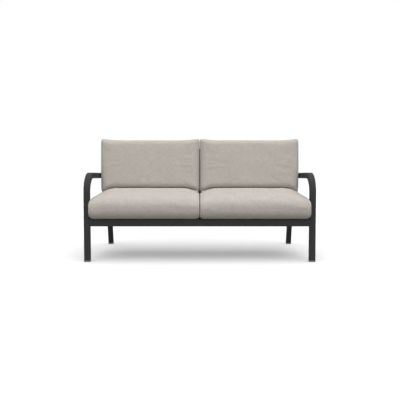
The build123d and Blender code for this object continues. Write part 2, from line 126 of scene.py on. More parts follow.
# What shapes a filled cover, in metres: the room that its folds have, the depths over which the
# seat's folds end before the back cushion, how far ahead of the legs the nose begins to bulge and
# bulges fully, how far the cover sinks beside the zip and the distances over which it rises again,
# and the width of a seam's groove.
FOLD_ROOM = 0.0025
SEAT_FOLDS_END = (0.24, 0.29)
NOSE_AHEAD = (0.004, 0.018)
ZIP_SINK = 0.0012
ZIP_CLEAR = (0.004, 0.018)
GROOVE_WIDTH = 0.004

# The camera's sensor in millimetres, and the depth of the plastics' grain in metres.
SENSOR_WIDTH = 36
PLASTIC_RELIEF = 0.0001


def linear(hex_colour):
    """sRGB hex to linear light: c / 12.92 up to 0.04045, else ((c + 0.055) / 1.055) to the power 2.4."""
    parts = [int(hex_colour[i:i + 2], 16) / 255 for i in (1, 3, 5)]
    return tuple(c / 12.92 if c <= 0.04045 else ((c + 0.055) / 1.055) ** 2.4 for c in parts)


def length(name, description, default, precision=4):
    """A length in metres for a property group."""
    return FloatProperty(
        name=name, description=description, default=default, precision=precision, unit="LENGTH"
    )


def colour(name, description, hex_colour):
    """A colour for a property group, from its sRGB hex value."""
    return FloatVectorProperty(
        name=name, description=description, default=linear(hex_colour), subtype="COLOR", min=0, max=1
    )


class LoveseatCushionSizes(bpy.types.PropertyGroup):
    """The soft parts' sizes."""

    crown_drop: length("Crown drop", "How far the seat's crown falls at its outer end", 0.045)
    shoulder_width: length("Shoulder width", "How far in from an end the seat's crown starts to fall", 0.110)
    edge_round: length("Edge round", "The radius of the seat's end edges", 0.010)
    nose_round: length("Nose round", "How far the seat's nose pulls back at its ends", 0.012)
    nose_round_width: length("Nose round width", "How wide the rounding of the nose is", 0.016)
    face_round: length("Face round", "How far the back's face pulls back at its ends", 0.046)
    face_round_width: length("Face round width", "How wide the rounding of the face is", 0.052)
    face_crown: length("Face crown", "How far the back's face stands out in the middle", 0.013)
    ear_rise: length("Ear rise", "How far the back's top corners stand up", 0.011)
    ear_width: length("Ear width", "How far in from its ends the back's top starts to rise", 0.072)
    seam_inset: length("Seam inset", "How far in from its ends a cushion's seams run", 0.0135)
    seam_depth: length("Seam depth", "How deep the seams pull into the padding", 0.0017)
    slack: length("Slack", "How far inside its outer form a cover starts before it is filled", 0.005)
    fold_limit: length("Fold limit", "How far a fold may stand from the outer form", 0.0008)
    press: length("Press", "How far the inner ends bulge towards each other", 0.0004)
    side_bulge: length("Side bulge", "How far the seat's nose bulges sideways in front of the legs", 0.003)
    pressure: FloatProperty(
        name="Pressure", description="How hard the filling pushes on the cover", default=4.0, min=0
    )
    ease: FloatProperty(
        name="Ease", description="How much larger than its form the fabric is cut",
        default=0.03, subtype="FACTOR",
    )


class LoveseatFinishes(bpy.types.PropertyGroup):
    """The colours, and the sizes of the patterns."""

    fabric: colour("Fabric", "The cushions' woven fabric", "#C0BAB3")
    coat: colour("Powder coat", "The frame's charcoal powder coat", "#3A393A")
    glide: colour("Glides", "The moulded feet", "#727170")
    cap: colour("Post caps", "The moulded caps of the back posts", "#222223")
    plated: colour("Plated steel", "The bolts, washers and nuts", "#B9BABC")
    tape: colour("Zip tape", "The zips' woven tape", "#A39C94")
    teeth: colour("Zip teeth", "The zips' moulded teeth", "#8D867F")
    yarn_pitch: length("Yarn pitch", "The distance between neighbouring yarns", 0.0018)
    slub_length: length("Slub length", "How long a darker or paler stretch of yarn is", 0.022)
    coat_grain: length("Coat grain", "The size of the powder coat's fine texture", 0.0011)
    blotch: length("Blotch", "The size of the fabric's paler and darker areas", 0.06)
    # Painted shade: the width beside each seam over which the fabric's colour is darkened.
    seam_shade: length("Crease", "How far from a seam the fabric is darker", 0.0025)
    coat_cloud: length("Coat cloud", "The size of the powder coat's glossier and duller areas", 0.09)
    coat_relief: length("Coat relief", "How deep the powder coat's grain is", 0.00012, 5)
    patch: length("Patch", "The size of the plating's bright and dull patches", 0.0035)
    tooth_pitch: length("Tooth pitch", "The distance between neighbouring zip teeth", 0.0025)
    teeth_reach: length("Teeth reach", "How far the zip's teeth reach either side of its middle", 0.0021)
    tooth_relief: length("Tooth relief", "How deep the gaps between the zip's teeth are", 0.0005)
    tape_rib: length("Tape rib", "The size of the zip tape's weave", 0.0006)


class LoveseatStage(bpy.types.PropertyGroup):
    """The camera, the lights and the floor."""

    camera_distance: length("Camera distance", "From the front legs' faces to the camera", 3.096)
    camera_height: length("Camera height", "From the floor to the camera", 0.5492)
    camera_pitch: FloatProperty(
        name="Camera pitch", description="How far the camera looks down",
        default=math.radians(2.78), subtype="ANGLE",
    )
    lens: FloatProperty(
        name="Lens", description="Focal length on a 36 mm sensor, in millimetres", default=43.74
    )
    shift: FloatProperty(
        name="Shift", description="How far the picture is moved sideways, in picture widths",
        default=0.0006, precision=4,
    )
    floor_side: length("Floor side", "The side of the square floor", 60.0)
    overhead: FloatProperty(
        name="Overhead light", description="Strength of the soft light from above", default=2.45
    )
    tilt: FloatProperty(
        name="Light tilt", description="How far the soft light leans to the front",
        default=math.radians(23), subtype="ANGLE",
    )
    roll: FloatProperty(
        name="Light roll", description="How far the soft light leans to the right",
        default=math.radians(4), subtype="ANGLE",
    )
    spread: FloatProperty(
        name="Light spread", description="How wide the soft light is",
        default=math.radians(85), subtype="ANGLE",
    )
    ambient: FloatProperty(
        name="Ambient light", description="Strength of the light from all round", default=0.5
    )
    ambient_middle: FloatProperty(
        name="Ambient in the middle", description="Its share from ahead, above and behind", default=1.3
    )
    ambient_side: FloatProperty(
        name="Ambient at the sides", description="Its share from the left and the right", default=0.3
    )
    floor: colour("Floor", "The floor as the camera sees it", "#E0E0E0")
    floor_glow: FloatProperty(
        name="Floor glow", description="How far the camera sees the floor's shadows lightened",
        default=0.28, min=0,
    )
    floor_bounce: colour("Floor bounce", "The floor as the light sees it", "#989693")


def add_node(material, kind, inputs=None, **settings):
    """Add a node, set its properties, and set or link each input that is named or numbered.

    A colour mix takes its factor as input 0 and its colours as 6 and 7, and gives output 2. A map
    range takes its value as 0, the range it comes from as 1 and 2, and the one it goes to as 3 and 4.
    """
    tree = material.node_tree
    node = tree.nodes.new(kind)
    for name, value in settings.items():
        setattr(node, name, value)
    for key, value in (inputs or {}).items():
        if isinstance(value, bpy.types.NodeSocket):
            tree.links.new(value, node.inputs[key])
        else:
            node.inputs[key].default_value = value
    return node


def new_material(name):
    """A node material without nodes."""
    material = bpy.data.materials.new(name)
    material.use_nodes = True
    material.node_tree.nodes.clear()
    return material


def seen_plainly(owner):
    """A value that is 1 for camera, glossy and transmission rays and 0 for the light's other bounces."""
    path = add_node(owner, "ShaderNodeLightPath").outputs
    seen = path["Is Camera Ray"]
    for other in ("Is Glossy Ray", "Is Transmission Ray"):
        seen = add_node(owner, "ShaderNodeMath", {0: seen, 1: path[other]}, operation="MAXIMUM").outputs[0]
    return seen


def tint(rgb, factor):
    """A colour scaled in linear light, with its alpha."""
    return (*(min(c * factor, 1.0) for c in rgb), 1.0)


def dress(nodes, material):
    """Give CAD nodes a material in place of the one they came with."""
    for name in nodes:
        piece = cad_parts[name]
        if not piece.material_slots:
            piece.data.materials.append(material)
        for slot in piece.material_slots:
            slot.material = material


def woven_fabric(finishes):
    """Solution-dyed olefin in a plain weave: matt yarns, each a little paler or darker along its length.

    The weave is drawn at 1.8 mm a yarn, about twice the real pitch, so that its grain shows. It follows
    the piece's own UV map, which is in metres across and along each panel. The seam attribute is the
    distance from the nearest seam in metres; beside the seams the colour is darkened as painted shade,
    standing in for the shade where the fabric turns into the stitching.
    """
    material = new_material("woven_olefin")
    uv = add_node(material, "ShaderNodeUVMap", uv_map="panels").outputs[0]
    turns = math.pi / finishes.yarn_pitch
    per_metre = (turns, turns, 0)
    phase = add_node(material, "ShaderNodeVectorMath", {0: uv, 1: per_metre}, operation="MULTIPLY")
    parts = add_node(material, "ShaderNodeSeparateXYZ", {0: phase.outputs[0]})
    warp = add_node(material, "ShaderNodeMath", {0: parts.outputs[0]}, operation="SINE")
    weft = add_node(material, "ShaderNodeMath", {0: parts.outputs[1]}, operation="SINE")
    knuckle = add_node(
        material, "ShaderNodeMath", {0: warp.outputs[0], 1: weft.outputs[0]}, operation="MULTIPLY"
    )
    shades = []
    for long_way, short_way in ((0, 1), (1, 0)):
        scale = [0.0, 0.0, 0.0]
        scale[long_way] = 1 / finishes.slub_length
        scale[short_way] = 0.5 / finishes.yarn_pitch
        stretched = add_node(material, "ShaderNodeVectorMath", {0: uv, 1: scale}, operation="MULTIPLY")
        slubs = add_node(
            material, "ShaderNodeTexNoise",
            {"Vector": stretched.outputs[0], "Scale": 1.0, "Detail": 2.0, "Roughness": 0.6},
            noise_dimensions="2D",
        )
        shades.append(slubs.outputs[0])
    heather = add_node(material, "ShaderNodeMath", {0: shades[0], 1: shades[1]}, operation="ADD")
    blotch = add_node(
        material, "ShaderNodeTexNoise",
        {"Vector": uv, "Scale": 1 / finishes.blotch, "Detail": 3.0}, noise_dimensions="2D",
    )
    shade = add_node(
        material, "ShaderNodeMath",
        {0: blotch.outputs[0], 1: 0.35, 2: heather.outputs[0]}, operation="MULTIPLY_ADD",
    )
    yarn = add_node(material, "ShaderNodeMapRange", {0: shade.outputs[0], 1: 0.75, 2: 1.6})
    body = add_node(
        material, "ShaderNodeMix",
        {0: yarn.outputs[0], 6: tint(finishes.fabric, 0.84), 7: tint(finishes.fabric, 1.15)},
        data_type="RGBA",
    )
    seam = add_node(material, "ShaderNodeAttribute", attribute_name="seam")
    # Painted shade: the colour falls to 0.78 at a seam and returns to full within the seam shade width,
    # standing in for the shade in the seam grooves.
    seam_shade = add_node(material, "ShaderNodeMapRange", {0: seam.outputs["Fac"], 2: finishes.seam_shade, 3: 0.78})
    final = add_node(
        material, "ShaderNodeVectorMath", {0: body.outputs[2], 3: seam_shade.outputs[0]}, operation="SCALE"
    )
    height = add_node(
        material, "ShaderNodeMath",
        {0: shade.outputs[0], 1: 0.8, 2: knuckle.outputs[0]}, operation="MULTIPLY_ADD",
    )
    bump = add_node(
        material, "ShaderNodeBump",
        {"Strength": 0.5, "Distance": 0.25 * finishes.yarn_pitch, "Height": height.outputs[0]},
    )
    shader = add_node(material, "ShaderNodeBsdfPrincipled", {
        "Base Color": final.outputs[0], "Roughness": 0.92, "IOR": 1.49, "Specular IOR Level": 0.25,
        "Sheen Weight": 0.12, "Sheen Roughness": 0.5, "Normal": bump.outputs[0],
    })
    add_node(material, "ShaderNodeOutputMaterial", {0: shader.outputs[0]})
    return material


def powder_coat(finishes):
    """Polyester powder coat baked on steel tube: dark and matt, with a fine grain and a clouded gloss."""
    material = new_material("powder_coated_steel")
    place = add_node(material, "ShaderNodeTexCoord").outputs["Object"]
    grain = add_node(
        material, "ShaderNodeTexNoise",
        {"Vector": place, "Scale": 1 / finishes.coat_grain, "Detail": 2.0, "Roughness": 0.55},
    )
    cloud = add_node(
        material, "ShaderNodeTexNoise", {"Vector": place, "Scale": 1 / finishes.coat_cloud, "Detail": 2.0}
    )
    gloss = add_node(material, "ShaderNodeMapRange", {0: cloud.outputs[0], 1: 0.3, 2: 0.7, 3: 0.58, 4: 0.68})
    shade = add_node(
        material, "ShaderNodeMix",
        {0: grain.outputs[0], 6: tint(finishes.coat, 0.9), 7: tint(finishes.coat, 1.1)}, data_type="RGBA",
    )
    bump = add_node(
        material, "ShaderNodeBump",
        {"Strength": 0.35, "Distance": finishes.coat_relief, "Height": grain.outputs[0]},
    )
    shader = add_node(material, "ShaderNodeBsdfPrincipled", {
        "Base Color": shade.outputs[2], "Roughness": gloss.outputs[0], "IOR": 1.5, "Specular IOR Level": 0.12,
        "Normal": bump.outputs[0],
    })
    add_node(material, "ShaderNodeOutputMaterial", {0: shader.outputs[0]})
    return material


def moulded_plastic(name, rgb, grit, roughness):
    """Injection-moulded plastic, or the enamel on a die-cast slider: an even colour under a fine grain.

    The grit is the size of the grain in metres.
    """
    material = new_material(name)
    place = add_node(material, "ShaderNodeTexCoord").outputs["Object"]
    grain = add_node(material, "ShaderNodeTexNoise", {"Vector": place, "Scale": 1 / grit, "Detail": 3.0})
    shade = add_node(
        material, "ShaderNodeMix",
        {0: grain.outputs[0], 6: tint(rgb, 0.93), 7: tint(rgb, 1.07)}, data_type="RGBA",
    )
    bump = add_node(
        material, "ShaderNodeBump", {"Strength": 0.3, "Distance": PLASTIC_RELIEF, "Height": grain.outputs[0]}
    )
    shader = add_node(material, "ShaderNodeBsdfPrincipled", {
        "Base Color": shade.outputs[2], "Roughness": roughness, "IOR": 1.5, "Normal": bump.outputs[0],
    })
    add_node(material, "ShaderNodeOutputMaterial", {0: shader.outputs[0]})
    return material


def plated_steel(finishes):
    """Zinc-plated steel: a bright metal whose gloss is clouded in small patches by the plating bath."""
    material = new_material("zinc_plated_steel")
    place = add_node(material, "ShaderNodeTexCoord").outputs["Object"]
    patches = add_node(material, "ShaderNodeTexVoronoi", {"Vector": place, "Scale": 1 / finishes.patch})
    gloss = add_node(material, "ShaderNodeMapRange", {0: patches.outputs[0], 3: 0.26, 4: 0.42})
    shader = add_node(material, "ShaderNodeBsdfPrincipled", {
        "Base Color": tint(finishes.plated, 1.0), "Metallic": 1.0, "Roughness": gloss.outputs[0],
    })
    add_node(material, "ShaderNodeOutputMaterial", {0: shader.outputs[0]})
    return material


def zip_finish(name, finishes, node, across):
    """Woven polyester tape with moulded teeth, which fill its middle and lie across it one pitch apart."""
    material = new_material(name)
    low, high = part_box(node)
    place = add_node(material, "ShaderNodeTexCoord").outputs["Object"]
    parts = add_node(material, "ShaderNodeSeparateXYZ", {0: place})
    middle = (low[across] + high[across]) / 2
    offset = add_node(material, "ShaderNodeMath", {0: parts.outputs[across], 1: middle}, operation="SUBTRACT")
    away = add_node(material, "ShaderNodeMath", {0: offset.outputs[0]}, operation="ABSOLUTE")
    on_teeth = add_node(
        material, "ShaderNodeMath", {0: away.outputs[0], 1: finishes.teeth_reach}, operation="LESS_THAN"
    )
    turns = 2 * math.pi / finishes.tooth_pitch
    turn = add_node(material, "ShaderNodeMath", {0: parts.outputs[0], 1: turns}, operation="MULTIPLY")
    wave = add_node(material, "ShaderNodeMath", {0: turn.outputs[0]}, operation="SINE")
    # Painted shade: between the teeth their colour falls to 0.3 of itself, standing in for the shade in the
    # gaps between them.
    gap_shade = add_node(material, "ShaderNodeMapRange", {0: wave.outputs[0], 1: -0.4, 2: 0.1, 3: 0.35, 4: 1.0})
    tooth = add_node(
        material, "ShaderNodeMix",
        {0: gap_shade.outputs[0], 6: tint(finishes.teeth, 0.3), 7: tint(finishes.teeth, 1.0)}, data_type="RGBA",
    )
    ribs = add_node(
        material, "ShaderNodeTexNoise", {"Vector": place, "Scale": 1 / finishes.tape_rib, "Detail": 2.0}
    )
    tape = add_node(
        material, "ShaderNodeMix",
        {0: ribs.outputs[0], 6: tint(finishes.tape, 0.85), 7: tint(finishes.tape, 1.12)}, data_type="RGBA",
    )
    both = add_node(
        material, "ShaderNodeMix",
        {0: on_teeth.outputs[0], 6: tape.outputs[2], 7: tooth.outputs[2]}, data_type="RGBA",
    )
    bump = add_node(
        material, "ShaderNodeBump",
        {"Strength": 0.6, "Distance": finishes.tooth_relief, "Height": wave.outputs[0]},
    )
    shader = add_node(material, "ShaderNodeBsdfPrincipled", {
        "Base Color": both.outputs[2], "Roughness": 0.7, "IOR": 1.5, "Normal": bump.outputs[0],
    })
    add_node(material, "ShaderNodeOutputMaterial", {0: shader.outputs[0]})
    return material


def quarter(distance, width):
    """How far a quarter round has fallen: 1 - sqrt(1 - t * t), with t from 1 at the end to 0 at the width."""
    left = 1 - np.minimum(distance / width, 1)
    return 1 - np.sqrt(1 - left ** 2)


def stack(*columns):
    """Corners of outlines from (depth, height, radius) triples, one array of sections by corners by three."""
    count = max(np.size(value) for column in columns for value in column)
    return np.stack([np.stack([np.broadcast_to(v, count) for v in column], -1) for column in columns], 1)


def shoulder(distance, outer, sizes):
    """How far a shoulder has fallen: (1 - distance / width) to a power, less at the inner end."""
    share = np.where(outer, 1, INNER_SHOULDER_SHARE)
    return share * np.maximum(1 - distance / sizes.shoulder_width, 0) ** SHOULDER_POWER


def bend_radius(before, corner, after, bend):
    """The radius that starts to bend an outline a given way either side of a corner: bend / tan(turn / 2)."""
    rise = np.arctan2(corner[1] - before[1], corner[0] - before[0])
    turn = rise - np.arctan2(after[1] - corner[1], after[0] - corner[0])
    return bend / np.tan(turn / 2)


def seat_corners(distance, outer, sizes):
    """The seat's side outline at distances from an end, from the nose round the underside.

    The crown, its slope and the nose fall by shares of the shoulder to a level edge, which is a quarter
    round, and the whole outline shrinks by 2 mm towards the end as a parabola.
    """
    fall = shoulder(distance, outer, sizes)
    edge = sizes.edge_round * quarter(distance, sizes.edge_round)
    nose = sizes.nose_round * quarter(distance, sizes.nose_round_width)
    low = BOTTOM_ROUND * quarter(distance, BOTTOM_ROUND_WIDTH)
    shrink = SWELL * (1 - np.minimum(distance / HALF_CUSHION, 1)) ** 2
    foot = SEAT_LOW.z
    front = SEAT_LOW.y + nose + shrink
    drop = sizes.crown_drop * fall
    less = foot - shrink - edge
    a = (front, less + NOSE_RISE - NOSE_DROP_SHARE * drop)
    b = (FRONT_FACE + SLOPE_RUN, less + SLOPE_RISE - SLOPE_DROP_SHARE * drop)
    c = (FRONT_FACE + CROWN_RUN, less + CROWN_RISE - drop)
    d = (SEAT_HIGH.y, c[1])
    share = (a[1] - foot - low) / NOSE_RISE * (1 - 0.1 * quarter(distance, sizes.nose_round_width))
    return stack(
        (front, foot + low, NOSE_LOW_RADIUS * share),
        (d[0], foot + low, SEAT_REAR_LOW_RADIUS),
        (*d, SEAT_REAR_HIGH_RADIUS),
        (*c, bend_radius(b, c, d, CROWN_BEND)),
        (*b, bend_radius(a, b, c, SLOPE_BEND)),
        (*a, NOSE_HIGH_RADIUS * share),
    )


def back_corners(distance, outer, sizes):
    """The back's side outline at distances from an end, from its foot round the underside.

    The face pulls back as a quarter round and bulges by a parabola towards the middle. The foot
    follows the seat's shoulders, and the top rises to its ears as a bell curve.
    """
    rest = SEAT_LOW.z + CROWN_RISE + REST_GAP
    face = sizes.face_round * quarter(distance, sizes.face_round_width)
    bulge = sizes.face_crown * (1 - (1 - np.minimum(distance / HALF_CUSHION, 1)) ** 2)
    droop = DROOP_SHARE * sizes.crown_drop * shoulder(distance, outer, sizes)
    outer_lift = OUTER_LIFT * quarter(distance, OUTER_LIFT_WIDTH)
    inner_lift = INNER_LIFT * quarter(distance, INNER_LIFT_WIDTH)
    bottom = rest - droop + np.where(outer, outer_lift, inner_lift)
    ear = sizes.ear_rise * np.exp(-(distance / sizes.ear_width) ** 2)
    top = rest + BACK_RISE + ear - TOP_ROUND * quarter(distance, TOP_ROUND)
    slope = math.tan(BACK_LEAN)
    front = FRONT_FACE + BACK_FRONT_RUN + face - bulge
    rear = FRONT_FACE + BACK_REAR_RUN
    rail_top = SEAT_LOW.z - REST_GAP
    level = (bottom + top) / 2
    crest = front - FACE_BULGE + slope * (level - rest)
    thickness = rear + slope * (top - rail_top) - front - slope * (top - rest)
    rear_top = top - thickness * slope
    return stack(
        (front + slope * (bottom - rest), bottom, BACK_FRONT_LOW_RADIUS),
        (rear + slope * (bottom - rail_top), bottom, BACK_REAR_LOW_RADIUS),
        (rear + slope * (rear_top - rail_top), rear_top, BACK_REAR_HIGH_RADIUS),
        (front + slope * (top - rest), top, BACK_FRONT_HIGH_RADIUS),
        (crest, level, FACE_BULGE_RADIUS),
    )


def outline_rings(corners, steps):
    """Points round rounded outlines, one ring a section.

    A corner's arc is centre + r * (cos a * out + sin a * on), with a from 0 to the angle it turns, out
    from the centre to the arc's start and on along the outline. Straight runs join the arcs.
    """
    point, radius = corners[..., :2], corners[..., 2:]
    back = np.roll(point, 1, 1) - point
    ahead = np.roll(point, -1, 1) - point
    back /= np.linalg.norm(back, axis=-1, keepdims=True)
    ahead /= np.linalg.norm(ahead, axis=-1, keepdims=True)
    half = np.arccos((back * ahead).sum(-1, keepdims=True)) / 2
    middle = back + ahead
    middle /= np.linalg.norm(middle, axis=-1, keepdims=True)
    centre = point + middle * radius / np.sin(half)
    start = point + back * radius / np.tan(half)
    out = (start - centre) / radius
    pieces = []
    for k, (on_arc, on_run) in enumerate(steps):
        angle = (math.pi - 2 * half[:, k, None]) * np.linspace(0, 1, on_arc + 1)[None, :, None]
        arc = np.cos(angle) * out[:, k, None] - np.sin(angle) * back[:, k, None]
        arc = centre[:, k, None] + radius[:, k, None] * arc
        run = start[:, (k + 1) % len(steps), None] - arc[:, -1:]
        share = (np.arange(1, on_run) / on_run)[None, :, None]
        pieces += [arc, arc[:, -1:] + run * share]
    return np.concatenate(pieces, 1)


def end_patch(ring, first, long_side, short_side):
    """A grid that closes a ring: a Coons patch.

    It is the sum of the two blends between facing sides, less the blend of the four corners.
    """
    ring = np.roll(ring, -first, 0)
    bottom = ring[:long_side + 1]
    right = ring[long_side:long_side + short_side + 1]
    top = ring[long_side + short_side:2 * long_side + short_side + 1][::-1]
    left = np.concatenate([ring[2 * long_side + short_side:], ring[:1]])[::-1]
    u = np.linspace(0, 1, long_side + 1)[:, None, None]
    v = np.linspace(0, 1, short_side + 1)[None, :, None]
    blend = (1 - v) * bottom[:, None] + v * top[:, None] + (1 - u) * left[None] + u * right[None]
    corners = (1 - v) * ((1 - u) * bottom[0] + u * bottom[-1]) + v * ((1 - u) * top[0] + u * top[-1])
    return blend - corners


class CushionForm:
    """A cushion's outer form as a closed grid of quads, with its seams and panel coordinates."""

    def __init__(self, sign, corners_at, steps, patch, flare, sizes):
        """Rings stand along X, closer near the ends, and a Coons patch closes each end.

        The outer end leans out above the armrest and in below it: X grows by the flare times the
        height over the armrest times the share of the way from the inner end.
        """
        self.patch = patch
        low, high = SEAT_LOW.x, SEAT_HIGH.x
        inset = sizes.seam_inset
        near = np.array([*END_RINGS, inset - SEAM_GAP, inset, inset + SEAM_GAP, inset + LAST_END_GAP])
        rest = np.linspace(near[-1], HALF_CUSHION, EVEN_RINGS)[1:]
        distance = np.concatenate([near, rest])
        both = np.concatenate([distance, distance[-2::-1]])
        outer = np.arange(len(both)) >= len(distance)
        x = np.concatenate([low + distance, high - distance[-2::-1]])
        self.seams = (SEAM_RING, len(both) - 1 - SEAM_RING)
        rings = outline_rings(corners_at(both, outer, sizes), steps)
        way = ((x - low) / (high - low))[:, None]
        across = x[:, None] + flare * way * (rings[..., 1] - ARM_TOP)
        self.rings = np.concatenate([across[..., None], rings], -1)
        if sign < 0:
            self.rings = (self.rings * (-1, 1, 1))[::-1]
        self.build()

    def build(self):
        """Vertices, quads, panel coordinates in metres and the distance from the nearest seam."""
        sections, count = self.rings.shape[:2]
        index = np.arange(sections * count).reshape(sections, count)
        after = np.roll(index, -1, 1)
        band = np.stack([index[:-1], after[:-1], after[1:], index[1:]], -1)
        along = np.linalg.norm(np.roll(self.rings, -1, 1) - self.rings, axis=-1)
        along = np.concatenate([np.zeros((sections, 1)), np.cumsum(along, 1)], 1)
        # Every ring counts from a quarter of the way round, which lies on the cushion's hidden side.
        along -= along[:, count // 4, None]
        walk = np.linalg.norm(np.diff(self.rings, axis=0), axis=-1)
        walk = np.concatenate([np.zeros((1, count)), np.cumsum(walk, 0)])
        from_seam = np.minimum(*(np.abs(walk - walk[s]) for s in self.seams))
        across = self.rings[..., 0]
        column = np.arange(count)
        corner_u = [across[:-1], across[:-1], across[1:], across[1:]]
        corner_v = [along[:-1, column], along[:-1, column + 1], along[1:, column + 1], along[1:, column]]
        panel = np.stack([np.stack(corner_u, -1), np.stack(corner_v, -1)], -1)
        flat = np.stack([self.rings[..., 1].ravel()[band], self.rings[..., 2].ravel()[band]], -1)
        on_end = np.ones(sections - 1, bool)
        on_end[self.seams[0]:self.seams[1]] = False
        panel[on_end] = flat[on_end]
        vertices = [self.rings.reshape(-1, 3)]
        quads = [band.reshape(-1, 4)]
        panels = [panel.reshape(-1, 2)]
        seam = [from_seam.ravel()]
        total = sections * count
        first, long_side, short_side = self.patch
        # Each end patch shares its rim with the ring at that end and adds only its inner points.
        for section, outward in ((0, False), (sections - 1, True)):
            grid = end_patch(self.rings[section], first, long_side, short_side)
            inner = grid[1:-1, 1:-1].reshape(-1, 3)
            number = np.empty(grid.shape[:2], int)
            ring = np.roll(index[section], -first)
            number[:, 0] = ring[:long_side + 1]
            number[-1] = ring[long_side:long_side + short_side + 1]
            number[:, -1] = ring[long_side + short_side:2 * long_side + short_side + 1][::-1]
            number[0] = np.concatenate([ring[2 * long_side + short_side:], ring[:1]])[::-1]
            number[1:-1, 1:-1] = total + np.arange(len(inner)).reshape(long_side - 1, short_side - 1)
            total += len(inner)
            faces = np.stack([number[:-1, :-1], number[1:, :-1], number[1:, 1:], number[:-1, 1:]], -1)
            faces = faces.reshape(-1, 4)
            if not outward:
                faces = faces[:, ::-1]
            vertices.append(inner)
            quads.append(faces)
            seam.append(np.full(len(inner), 0.05))
            panels.append(np.concatenate(vertices)[faces][..., 1:].reshape(-1, 2))
        self.vertices = np.concatenate(vertices)
        self.quads = np.concatenate(quads)
        self.panels = np.concatenate(panels)
        self.seam = np.concatenate(seam)

    def normals(self):
        """Unit normals at the vertices: the sum of the crossed diagonals of the quads that meet there."""
        a, b, c, d = (self.vertices[self.quads[:, k]] for k in range(4))
        crossed = np.cross(c - a, d - b)
        total = np.zeros_like(self.vertices)
        for k in range(4):
            np.add.at(total, self.quads[:, k], crossed)
        return total / np.linalg.norm(total, axis=1, keepdims=True)

    def smooth(self, values, rounds):
        """Average a value with its neighbours' mean, again and again."""
        pairs = np.concatenate([self.quads[:, [k, (k + 1) % 4]] for k in range(4)])
        degree = np.bincount(pairs.ravel(), minlength=len(values))
        for _ in range(rounds):
            total = np.bincount(pairs[:, 0], values[pairs[:, 1]], len(values))
            total += np.bincount(pairs[:, 1], values[pairs[:, 0]], len(values))
            values = (values + total / degree) / 2
        return values

    def mesh(self, name, places):
        """A mesh of the form's quads with its vertices at other places."""
        mesh = bpy.data.meshes.new(name)
        mesh.from_pydata(places, [], self.quads)
        mesh.uv_layers.new(name="panels").data.foreach_set("uv", self.panels.ravel())
        mesh.attributes.new("seam", "FLOAT", "POINT").data.foreach_set("value", self.seam)
        mesh.shade_smooth()
        return mesh


def fill_covers(forms, sizes, phases):
    """Fill covers with padding: a cloth cut larger than its form is pushed out and its seams hold it in.

    Returns how far each cover then stands from where it started, along its normals.
    """
    scene = bpy.context.scene
    pieces, starts, normals = [], [], []
    for form, phase in zip(forms, phases):
        normal = form.normals()
        x, y, z = form.vertices.T
        uneven = np.sin(WAVES[0] * x + phase) * np.sin(WAVES[1] * y + 2 * phase)
        uneven *= np.sin(WAVES[2] * z + 3 * phase)
        start = form.vertices - normal * (sizes.slack + UNEVENNESS * uneven[:, None])
        piece = bpy.data.objects.new("filling", form.mesh("filling", start))
        scene.collection.objects.link(piece)
        held = piece.vertex_groups.new(name="held")
        held.add(np.flatnonzero(form.seam < 1e-6).tolist(), 1.0, "REPLACE")
        cloth = piece.modifiers.new("cloth", "CLOTH")
        cloth.settings.quality = 5
        cloth.settings.mass = 0.3
        cloth.settings.tension_stiffness = 15
        cloth.settings.compression_stiffness = 15
        cloth.settings.shear_stiffness = 5
        cloth.settings.bending_stiffness = 0.4
        cloth.settings.use_pressure = True
        cloth.settings.uniform_pressure_force = sizes.pressure
        cloth.settings.shrink_min = -sizes.ease
        cloth.settings.effector_weights.gravity = 0
        cloth.settings.vertex_group_mass = "held"
        cloth.collision_settings.use_collision = False
        cloth.point_cache.frame_start = 1
        cloth.point_cache.frame_end = FILL_FRAMES
        pieces.append(piece)
        starts.append(start)
        normals.append(normal)
    for step in range(1, FILL_FRAMES + 1):
        scene.frame_set(step)
    heights = []
    graph = bpy.context.evaluated_depsgraph_get()
    for piece, start, normal in zip(pieces, starts, normals):
        filled = piece.evaluated_get(graph).data
        places = np.empty(len(start) * 3)
        filled.vertices.foreach_get("co", places)
        heights.append(((places.reshape(-1, 3) - start) * normal).sum(1))
    scene.frame_set(1)
    for piece in pieces:
        mesh = piece.data
        bpy.data.objects.remove(piece)
        bpy.data.meshes.remove(mesh)
    return heights


def box_distance(places, node):
    """The distance from points to a node's box: the length of how far each coordinate is past it."""
    low, high = (np.array(corner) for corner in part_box(node))
    past = np.maximum(np.maximum(low - places, places - high), 0)
    return np.linalg.norm(past, axis=1)


def ease_in(value, low, high):
    """0 below low and 1 above high, with 3 t t - 2 t t t between them."""
    t = np.clip((value - low) / (high - low), 0, 1)
    return t * t * (3 - 2 * t)


def finish_cover(form, height, room, bulge, zip_node, sizes):
    """Where a filled cover's vertices lie.

    The folds are the filled height, smoothed a little, less its wide average. They are held to the
    fold limit by a tanh, and kept within the room in front of each vertex. Seams pull in as a bell
    curve of the distance from them, the given bulge is added, and the fabric lies 1.2 mm lower
    beside the zip.
    """
    fold = np.zeros(len(form.vertices))
    if height is not None:
        fold = form.smooth(height, FINE_ROUNDS) - form.smooth(height, WIDE_ROUNDS)
    fold = sizes.fold_limit * np.tanh(fold / sizes.fold_limit)
    away = ease_in(box_distance(form.vertices, zip_node), *ZIP_CLEAR)
    groove = sizes.seam_depth * np.exp(-(form.seam / GROOVE_WIDTH) ** 2)
    lift = np.minimum(fold * away, room) + bulge - groove - ZIP_SINK * (1 - away)
    return form.vertices + form.normals() * lift[:, None]


